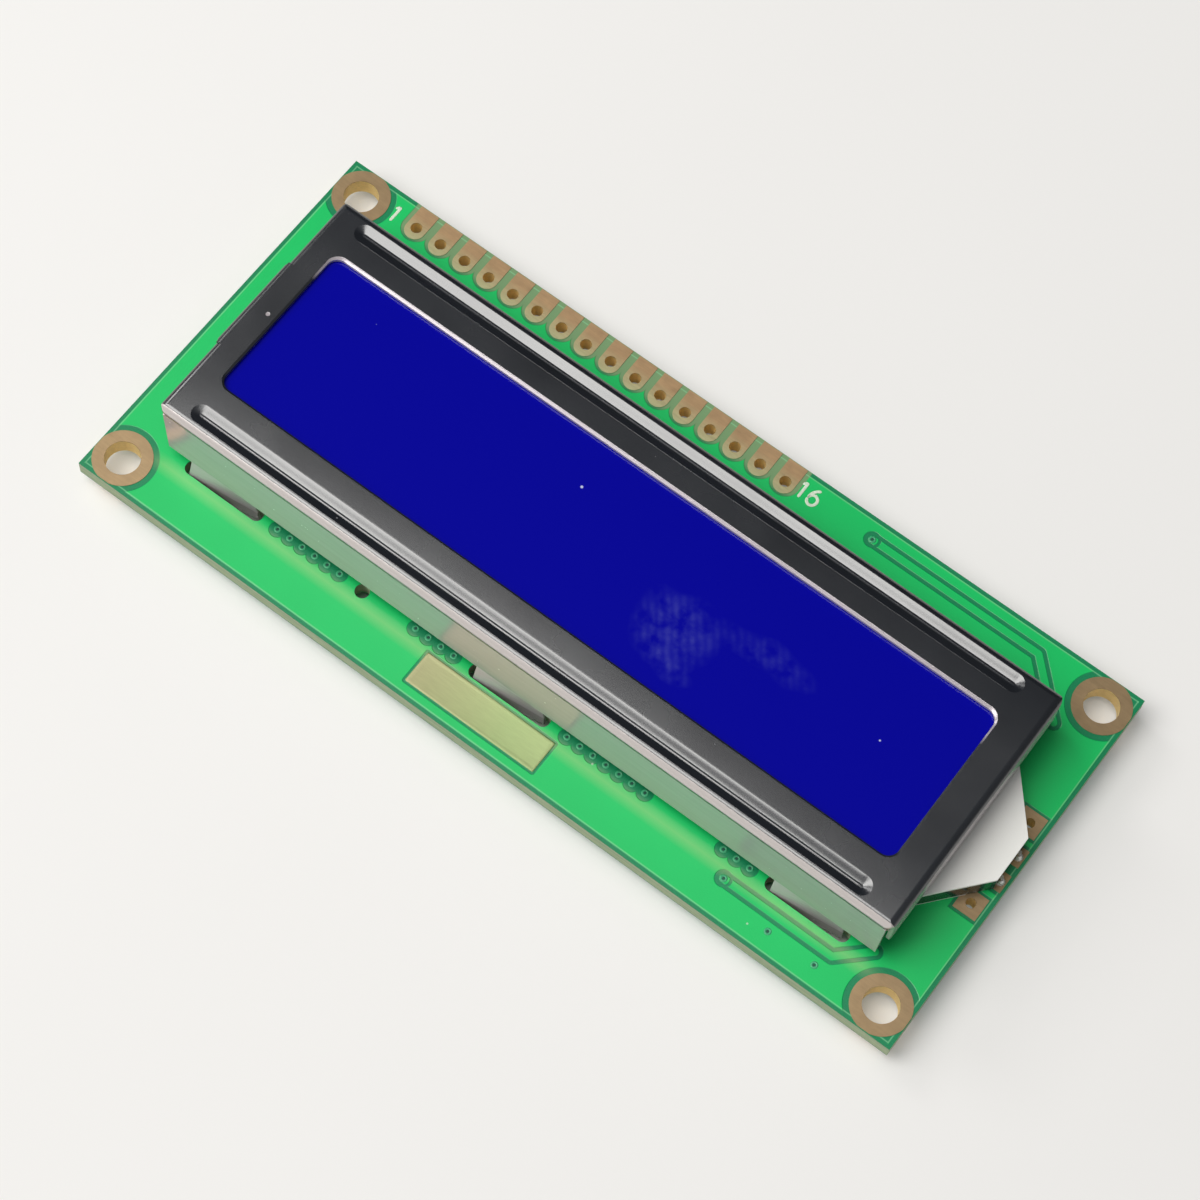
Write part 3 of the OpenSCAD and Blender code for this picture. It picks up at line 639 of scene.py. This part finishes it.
def plate_gilt():
    """Bare plated rectangle: tan at its left and greener to its right, with fine brushing."""
    f = Finish("plate_gilt")
    along = f.x.above((PLATE_BOX[0] + PLATE_BOX[1]) / 2 - 2.0, 9.0)
    fine = f.noise(4.0, 5.0, stretch=(5.0, 0.7, 1.0))
    colour = f.blend(along, rgb(182, 180, 134), rgb(164, 182, 124))
    return f.surface(Base_Color=f.shade(colour, 0.84 + 0.26 * fine), Metallic=0.35,
                     Roughness=0.4 + 0.2 * fine, Normal=f.bump(0.004 * fine))


# ---------------------------------------------------------------------- the pieces


def piece(name, points, faces, material, slot, smooth=True):
    """Makes a mesh object from points in millimetres, which rides with the module."""
    mesh = bpy.data.meshes.new(name)
    mesh.from_pydata((np.asarray(points) * MM).tolist(), [], faces)
    mesh.polygons.foreach_set("use_smooth", [smooth] * len(mesh.polygons))
    mesh.materials.append(material)
    mesh.update()
    body = bpy.data.objects.new(name, mesh)
    bpy.context.scene.collection.objects.link(body)
    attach(body, "root")
    return body


def grid_faces(rows, columns, start=0, closed_rows=False):
    """Quads of a grid that closes round its columns and, if asked, round its rows."""
    last = rows if closed_rows else rows - 1
    row, column = np.meshgrid(np.arange(last), np.arange(columns), indexing="ij")
    after, beside = (row + 1) % rows, (column + 1) % columns
    quads = np.stack([row * columns + column, row * columns + beside,
                      after * columns + beside, after * columns + column], axis=-1)
    return (quads.reshape(-1, 4) + start).tolist()


def stroke(path, width, foot, height, sides=10):
    """A printed stroke: an oval section carried along a path in the plane. Each point is
    path + across * normal * cos(a) and foot + height * (1 + sin(a)) / 2, for a all the way
    round, and the section narrows to a rounded end at both ends of the path."""
    path = np.asarray(path, float)
    steps = np.r_[0, np.cumsum(np.hypot(*np.diff(path, axis=0).T))]
    ends = np.minimum(steps, steps[-1] - steps) / (width / 2)
    across = width / 2 * np.sqrt(np.clip(1 - (1 - np.clip(ends, 0, 1)) ** 2, 0.12, 1))
    along = np.gradient(path, axis=0)
    along /= np.hypot(*along.T)[:, None]
    normal = np.stack([along[:, 1], -along[:, 0]], axis=1)
    turn = np.linspace(0, 2 * np.pi, sides, endpoint=False)
    flat = path[:, None, :] + (across[:, None, None] * np.cos(turn)[None, :, None]
                               * normal[:, None, :])
    level = foot + height * (1 + np.sin(turn)) / 2
    points = np.concatenate(
        [flat, np.broadcast_to(level[None, :, None], (*flat.shape[:2], 1))], axis=2)
    count = len(path)
    faces = [[sides * (count - 1) + i for i in range(sides)], list(range(sides))[::-1]]
    quads = [q[::-1] for q in grid_faces(count, sides)]
    return points.reshape(-1, 3), quads + [f[::-1] for f in faces]


def gathered(parts):
    """Joins several sets of points and faces into one."""
    points, faces, start = [], [], 0
    for some_points, some_faces in parts:
        points.append(some_points)
        faces += [[i + start for i in face] for face in some_faces]
        start += len(some_points)
    return np.concatenate(points), faces


def arc(middle, radius, start, end, count=14):
    """Points on part of an ellipse, from one angle to another in degrees."""
    angle = np.radians(np.linspace(start, end, count))
    return np.stack([middle[0] + radius[0] * np.cos(angle),
                     middle[1] + radius[1] * np.sin(angle)], axis=1)


def chain(*points, spacing=0.08):
    """Points spread evenly along straight lines from one given point to the next."""
    spread = []
    for a, b in zip(points, points[1:]):
        a, b = np.array(a), np.array(b)
        count = max(2, int(np.hypot(*(b - a)) / spacing))
        spread.append(a + (b - a) * np.linspace(0, 1, count, endpoint=False)[:, None])
    return np.concatenate(spread + [np.array(points[-1])[None]])


def digit_one(x, y, high):
    """The strokes of a 1: an upright with a short flag at its top."""
    return [chain((x, y), (x, y + high)),
            chain((x - 0.2 * high, y + 0.76 * high), (x - 0.02 * high, y + 0.98 * high))]


def digit_six(x, y, high):
    """The strokes of a 6: a closed lower bowl, and a curved back that rises from its left."""
    wide, bowl = 0.27 * high, 0.3 * high
    back = arc((x + 0.24 * high, y + 0.36 * high), (0.5 * high, 0.62 * high), 185, 102)
    return [arc((x, y + bowl), (wide, bowl), 180, 540, 30), back]


def ring_rows(radii, levels, centres, sides=20):
    """Turned rings: a closed profile of radii and levels carried round each centre. Each
    point is centre + radius * (cos a, sin a), at its own level."""
    turn = np.linspace(0, 2 * np.pi, sides, endpoint=False)
    circle = np.stack([np.cos(turn), np.sin(turn)], axis=1)
    flat = np.asarray(radii)[:, None, None] * circle[None]
    one = np.concatenate([flat, np.broadcast_to(
        np.asarray(levels)[:, None, None], (len(radii), sides, 1))], axis=2).reshape(-1, 3)
    faces = grid_faces(len(radii), sides, closed_rows=True)
    return gathered([(one + np.array([x, y, 0.0]), faces) for x, y in centres])


def capped_disc(radius, foot, height, centres, sides=20):
    """Low round buttons: a side wall between two closed round ends at each centre."""
    turn = np.linspace(0, 2 * np.pi, sides, endpoint=False)
    circle = radius * np.stack([np.cos(turn), np.sin(turn)], axis=1)
    levels = np.array([foot, foot + height])
    one = np.concatenate([np.broadcast_to(circle, (2, sides, 2)), np.broadcast_to(
        levels[:, None, None], (2, sides, 1))], axis=2).reshape(-1, 3)
    faces = grid_faces(2, sides) + [list(range(sides))[::-1], list(range(sides, 2 * sides))]
    return gathered([(one + np.array([x, y, 0.0]), faces) for x, y in centres])


def via_places():
    """All via centres on the board, in millimetres."""
    rows = [(first + i * VIA_PITCH, VIA_ROW_Y) for first, count in VIA_ROWS for i in range(count)]
    return rows + list(LONE_VIAS)


def rounded_outline(box, corner, sides=8):
    """Points round a rectangle with rounded corners, counter-clockwise."""
    low_x, high_x, low_y, high_y = box
    corners_at = ((high_x - corner, low_y + corner, -90), (high_x - corner, high_y - corner, 0),
                  (low_x + corner, high_y - corner, 90), (low_x + corner, low_y + corner, 180))
    return np.concatenate([arc((x, y), (corner, corner), a, a + 90, sides)
                           for x, y, a in corners_at])


def dished_plate(box, corner, foot, height, rim):
    """A thin plate with a slightly raised rim: rings of the same rounded outline, drawn in
    by the rim's width from one to the next, at the foot, the rim's top and the face."""
    rings = []
    for inset, level in ((0, foot), (0, foot + 0.7 * height), (0.35 * rim, foot + height),
                         (0.8 * rim, foot + height), (rim, foot + 0.6 * height)):
        flat = rounded_outline((box[0] + inset, box[1] - inset, box[2] + inset, box[3] - inset),
                               corner)
        rings.append(np.c_[flat, np.full(len(flat), level)])
    count = len(rings[0])
    faces = grid_faces(len(rings), count)
    faces += [list(range(count))[::-1], [(len(rings) - 1) * count + i for i in range(count)]]
    return np.concatenate(rings), faces


# -------------------------------------------------------------------- the operators

GROOVE_Y, GROOVE_REACH = 10.39, 32.0
LONG_WALL_END, LONG_WALL_Y = 35.09, 13.0
WINDOW_MARGIN_X, WINDOW_MARGIN_Y = 2.9, 4.55
WINDOW_SHIFT = -0.33
SHEET_LOW_X = GLASS_LOW[0] - 0.75
SHEET_HIGH_X = GLASS_HIGH[0] + 0.75
SHEET_LOW_Y = GLASS_LOW[1] - 0.75
SHEET_HIGH_Y = GLASS_HIGH[1] + 0.75
WINDOW = (SHEET_LOW_X + WINDOW_MARGIN_X + WINDOW_SHIFT, SHEET_HIGH_X - WINDOW_MARGIN_X + WINDOW_SHIFT,
          SHEET_LOW_Y + WINDOW_MARGIN_Y, SHEET_HIGH_Y - WINDOW_MARGIN_Y)


class DISPLAY_OT_board(bpy.types.Operator):
    """Finish the circuit board with its solder mask and cut edges"""

    bl_idname = "display.board"
    bl_label = "Circuit board"

    def execute(self, context):
        dress("circuit_board", solder_mask(context.scene.display_finishes))
        return {"FINISHED"}


class DISPLAY_OT_plating(bpy.types.Operator):
    """Finish the plated pads, rings and contact fingers"""

    bl_idname = "display.plating"
    bl_label = "Plated pads"

    def execute(self, context):
        gilt = context.scene.display_finishes.gilt
        finish = plating("plating", gilt)
        for node in ("mounting_pads", "backlight_pads", "contact_fingers"):
            dress(node, finish)
        dress("header_pads", plating("header_plating", rgb(198, 164, 124), rgb(198, 196, 150)))
        return {"FINISHED"}


class DISPLAY_OT_bezel(bpy.types.Operator):
    """Finish the folded bezel: black coat on its face, bare steel below"""

    bl_idname = "display.bezel"
    bl_label = "Bezel"

    def execute(self, context):
        dress("bezel", bezel_coat(context.scene.display_finishes))
        return {"FINISHED"}


class DISPLAY_OT_cell(bpy.types.Operator):
    """Finish the glass cell, its polarizers, its seal and its zebra strips"""

    bl_idname = "display.cell"
    bl_label = "Glass cell"

    def execute(self, context):
        dress("front_polarizer", display_film(context.scene.display_finishes))
        pane = glass("cell_glass", rgb(222, 236, 228))
        dress("front_glass", pane)
        dress("rear_glass", pane)
        dress("cell_seal", film("cell_seal", rgb(214, 216, 200), 0.3))
        dress("rear_polarizer", film("grey_polarizer", rgb(96, 102, 110), 0.15))
        rubber = zebra()
        dress("zebra_strip_front", rubber)
        dress("zebra_strip_back", rubber)
        return {"FINISHED"}


class DISPLAY_OT_backlight(bpy.types.Operator):
    """Finish the backlight: light guide, films, lamp, leads and solder"""

    bl_idname = "display.backlight"
    bl_label = "Backlight"

    def execute(self, context):
        dress("light_guide", acrylic())
        dress("diffuser_film", film("diffuser", rgb(236, 238, 238), 0.55))
        white = film("white_film", rgb(246, 246, 241), 0.5, grain=0.04)
        dress("reflector_film", white)
        dress("tongue_film", white)
        dress("backlight_lamp", film("lamp_body", rgb(240, 234, 190), 0.3))
        dress("lamp_leads", tinned())
        dress("lamp_solder", solder())
        return {"FINISHED"}


class DISPLAY_OT_underside(bpy.types.Operator):
    """Finish the parts under the board: chips, resin caps, resistors and capacitors"""

    bl_idname = "display.underside"
    bl_label = "Underside parts"

    def execute(self, context):
        black, die = resin(), film("silicon", rgb(96, 98, 108), 0.2, metallic=0.4)
        for side in ("controller", "driver"):
            dress(side + "_cap", black)
            dress(side + "_chip", die)
        resistor = ceramic("resistor_body", rgb(24, 24, 26), rgb(214, 214, 208), 0.38)
        for node in ("ladder_resistors", "timing_resistors", "backlight_resistors"):
            dress(node, resistor)
        dress("capacitors", ceramic("capacitor_body", rgb(176, 146, 112), rgb(168, 138, 106), 0.7))
        dress("chip_solder", solder())
        return {"FINISHED"}


class DISPLAY_OT_vias(bpy.types.Operator):
    """Add the vias: a raised rim round a dark hole, on both faces"""

    bl_idname = "display.vias"
    bl_label = "Vias"

    def execute(self, context):
        outer = context.scene.display_print.via_size / MM / 2
        inner, lift = 0.42 * outer, 0.03
        centres = via_places()
        f = Finish("via_rim")
        tone = f.noise(5.0, 3.0)
        rim = f.surface(Base_Color=f.shade(rgb(66, 168, 118), 0.8 + 0.4 * tone),
                        Roughness=0.3 + 0.1 * tone, Normal=f.bump(0.004 * tone))
        f = Finish("via_hole")
        tone = f.noise(5.0, 3.0)
        hole = f.surface(Base_Color=f.shade(rgb(16, 84, 64), 0.7 + 0.6 * tone),
                         Roughness=0.5 + 0.2 * tone)
        profile = (inner, 0.5 * (inner + outer), outer, outer, inner)
        rims, holes = [], []
        for foot, way in ((BOARD_HIGH[2], 1), (BOARD_LOW[2], -1)):
            levels = [foot + way * h for h in (0.6 * lift, lift, 0.5 * lift, 0, 0)]
            points, faces = ring_rows(profile, levels, centres)
            rims.append((points, faces if way < 0 else [q[::-1] for q in faces]))
            low = min(foot, foot + way * 0.3 * lift)
            holes.append(capped_disc(inner, low, 0.3 * lift, centres))
        piece("via_rims", *gathered(rims), rim, "board")
        piece("via_holes", *gathered(holes), hole, "board", smooth=False)
        return {"FINISHED"}


class DISPLAY_OT_numerals(bpy.types.Operator):
    """Print the numbers of the header row's first and last pins"""

    bl_idname = "display.numerals"
    bl_label = "Pin numbers"

    def execute(self, context):
        sizes = context.scene.display_print
        width, high = sizes.stroke / MM, sizes.numeral_height / MM
        last_x = PIN_X + PIN_PITCH * (PIN_COUNT - 1)
        paint, thick = ink(), 0.025
        first = digit_one(PIN_X - 2.2, PIN_Y - 0.8, high)
        last = digit_one(last_x + 1.6, PIN_Y - 0.5, high) + digit_six(last_x + 2.7, PIN_Y - 0.5, high)
        for name, strokes in (("pin_number_1", first), ("pin_number_16", last)):
            parts = [stroke(path, width, BOARD_HIGH[2], thick) for path in strokes]
            piece(name, *gathered(parts), paint, "board")
        return {"FINISHED"}


class DISPLAY_OT_plate(bpy.types.Operator):
    """Add the bare plated rectangle near the board's front edge"""

    bl_idname = "display.plate"
    bl_label = "Bare rectangle"

    def execute(self, context):
        points, faces = dished_plate(PLATE_BOX, 0.12, BOARD_HIGH[2], 0.03, 0.3)
        piece("bare_rectangle", points, faces, plate_gilt(), "gilt")
        return {"FINISHED"}


def area_lamp(name, place, aim, size, watts, colour):
    """A soft lamp of two given sides at a place in metres, turned to its aim."""
    data = bpy.data.lights.new(name, "AREA")
    data.shape = "RECTANGLE"
    data.size, data.size_y = size
    data.energy = watts
    data.color = colour
    lamp = bpy.data.objects.new(name, data)
    lamp.location = place
    lamp.rotation_euler = (Vector(aim) - Vector(place)).to_track_quat("-Z", "Y").to_euler()
    bpy.context.scene.collection.objects.link(lamp)


class DISPLAY_OT_stage(bpy.types.Operator):
    """Set up the pale floor, the soft lamps, the surroundings and the camera"""

    bl_idname = "display.stage"
    bl_label = "Stage"

    def execute(self, context):
        stage = context.scene.display_stage
        self.floor(stage)
        self.lamps(stage)
        self.surroundings(stage)
        self.camera(stage)
        context.scene.view_settings.view_transform = "Standard"
        return {"FINISHED"}

    def floor(self, stage):
        """A flat floor under the lowest tab, with a little extra light that only the camera sees, left
        out within the bezel's outline as painted shade.
        """
        reach = 3.0
        low = CAD_BOX[0][2]
        mesh = bpy.data.meshes.new("floor")
        mesh.from_pydata([(-reach, -reach, low), (reach, -reach, low),
                          (reach, reach, low), (-reach, reach, low)], [], [(0, 1, 2, 3)])
        f = Finish("paper_floor")
        paper = f.noise(0.02, 2.0)
        matt = f.add("ShaderNodeBsdfDiffuse", None,
                     {"Color": f.shade(stage.floor_colour, 0.985 + 0.03 * paper)})
        seen = f.add("ShaderNodeLightPath", output="Is Camera Ray")
        # no camera-only light within the bezel's outline: painted shade on the floor seen through the
        # slots
        floor_outside_painted_shade = f.panel(-34.5, 34.5, -14.5, 14.5).above(0.0, 2.0)
        glow = f.add("ShaderNodeEmission", None, {
            "Color": (1.0, 0.995, 0.985, 1.0), "Strength": seen * floor_outside_painted_shade * stage.floor_lift})
        f.add_output(f.add("ShaderNodeAddShader", None, {0: matt, 1: glow}))
        mesh.materials.append(f.material)
        body = bpy.data.objects.new("floor", mesh)
        bpy.context.scene.collection.objects.link(body)

    def lamps(self, stage):
        """One large soft lamp nearly overhead, and a weaker one low on the left."""
        way = Vector((-0.35, -0.28, 0.91)).normalized()
        area_lamp("key", way * stage.key_distance, (0, 0, 0),
                  (stage.key_size, 1.5 * stage.key_size), stage.key_watts, (1.0, 0.985, 0.96))
        way = Vector((-0.8, 0.15, 0.58)).normalized()
        area_lamp("side", way * stage.key_distance, (0, 0, 0), (0.2, 0.2),
                  stage.side_watts, (1.0, 0.99, 0.98))

    def surroundings(self, stage):
        """Even light from all round, dimmer behind the module than in front of it."""
        world = bpy.data.worlds.new("studio")
        world.use_nodes = True
        tree = world.node_tree
        tree.nodes.clear()
        place = tree.nodes.new("ShaderNodeTexCoord")
        split = tree.nodes.new("ShaderNodeSeparateXYZ")
        ramp = tree.nodes.new("ShaderNodeMapRange")
        glow = tree.nodes.new("ShaderNodeBackground")
        out = tree.nodes.new("ShaderNodeOutputWorld")
        ramp.inputs["From Min"].default_value = 0.55
        ramp.inputs["From Max"].default_value = -0.25
        ramp.inputs["To Min"].default_value = 0.25 * stage.sky
        ramp.inputs["To Max"].default_value = 1.6 * stage.sky
        glow.inputs["Color"].default_value = (0.97, 0.985, 1.0, 1.0)
        tree.links.new(place.outputs["Generated"], split.inputs[0])
        tree.links.new(split.outputs["Y"], ramp.inputs["Value"])
        tree.links.new(ramp.outputs["Result"], glow.inputs["Strength"])
        tree.links.new(glow.outputs["Background"], out.inputs["Surface"])
        bpy.context.scene.world = world

    def camera(self, stage):
        """The camera, from its place and its three axes in the module's own frame."""
        right = Vector((0.80149, 0.59553, 0.05427))
        up = Vector((-0.56519, 0.72473, 0.39411))
        back = Vector((0.19537, -0.34655, 0.91746))
        place = Vector((0.051924, -0.091220, 0.238073))
        data = bpy.data.cameras.new("camera")
        data.lens = stage.lens
        data.sensor_width = 36.0
        data.shift_x = -0.0093
        data.shift_y = 0.0013
        data.clip_start = 0.01
        camera = bpy.data.objects.new("camera", data)
        camera.matrix_world = Matrix.Translation(place) @ Matrix(
            (right, up, back)).transposed().to_4x4()
        bpy.context.scene.collection.objects.link(camera)
        bpy.context.scene.camera = camera


OPERATORS = (DISPLAY_OT_board, DISPLAY_OT_plating, DISPLAY_OT_bezel, DISPLAY_OT_cell,
             DISPLAY_OT_backlight, DISPLAY_OT_underside, DISPLAY_OT_vias, DISPLAY_OT_numerals,
             DISPLAY_OT_plate, DISPLAY_OT_stage)
GROUPS = (("display_stage", StageSettings), ("display_finishes", FinishSettings),
          ("display_print", PrintSettings))


class DISPLAY_PT_panel(bpy.types.Panel):
    """Lists the settings, and the operators that make each piece"""

    bl_idname = "DISPLAY_PT_panel"
    bl_label = "Character display module"
    bl_space_type = "VIEW_3D"
    bl_region_type = "UI"
    bl_category = "Display"

    def draw(self, context):
        for name, group in GROUPS:
            column = self.layout.column(align=True)
            for key in group.__annotations__:
                column.prop(getattr(context.scene, name), key)
        for operator in OPERATORS:
            self.layout.operator(operator.bl_idname)


def register():
    for item in [group for name, group in GROUPS] + list(OPERATORS) + [DISPLAY_PT_panel]:
        bpy.utils.register_class(item)
    for name, group in GROUPS:
        setattr(bpy.types.Scene, name, PointerProperty(type=group))


def unregister():
    for name, group in GROUPS:
        delattr(bpy.types.Scene, name)
    for item in [DISPLAY_PT_panel] + list(OPERATORS) + [group for name, group in GROUPS]:
        bpy.utils.unregister_class(item)


def main():
    """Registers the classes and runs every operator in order."""
    register()
    for operator in OPERATORS:
        group, name = operator.bl_idname.split(".")
        getattr(getattr(bpy.ops, group), name)()


if __name__ == "__main__":
    main()
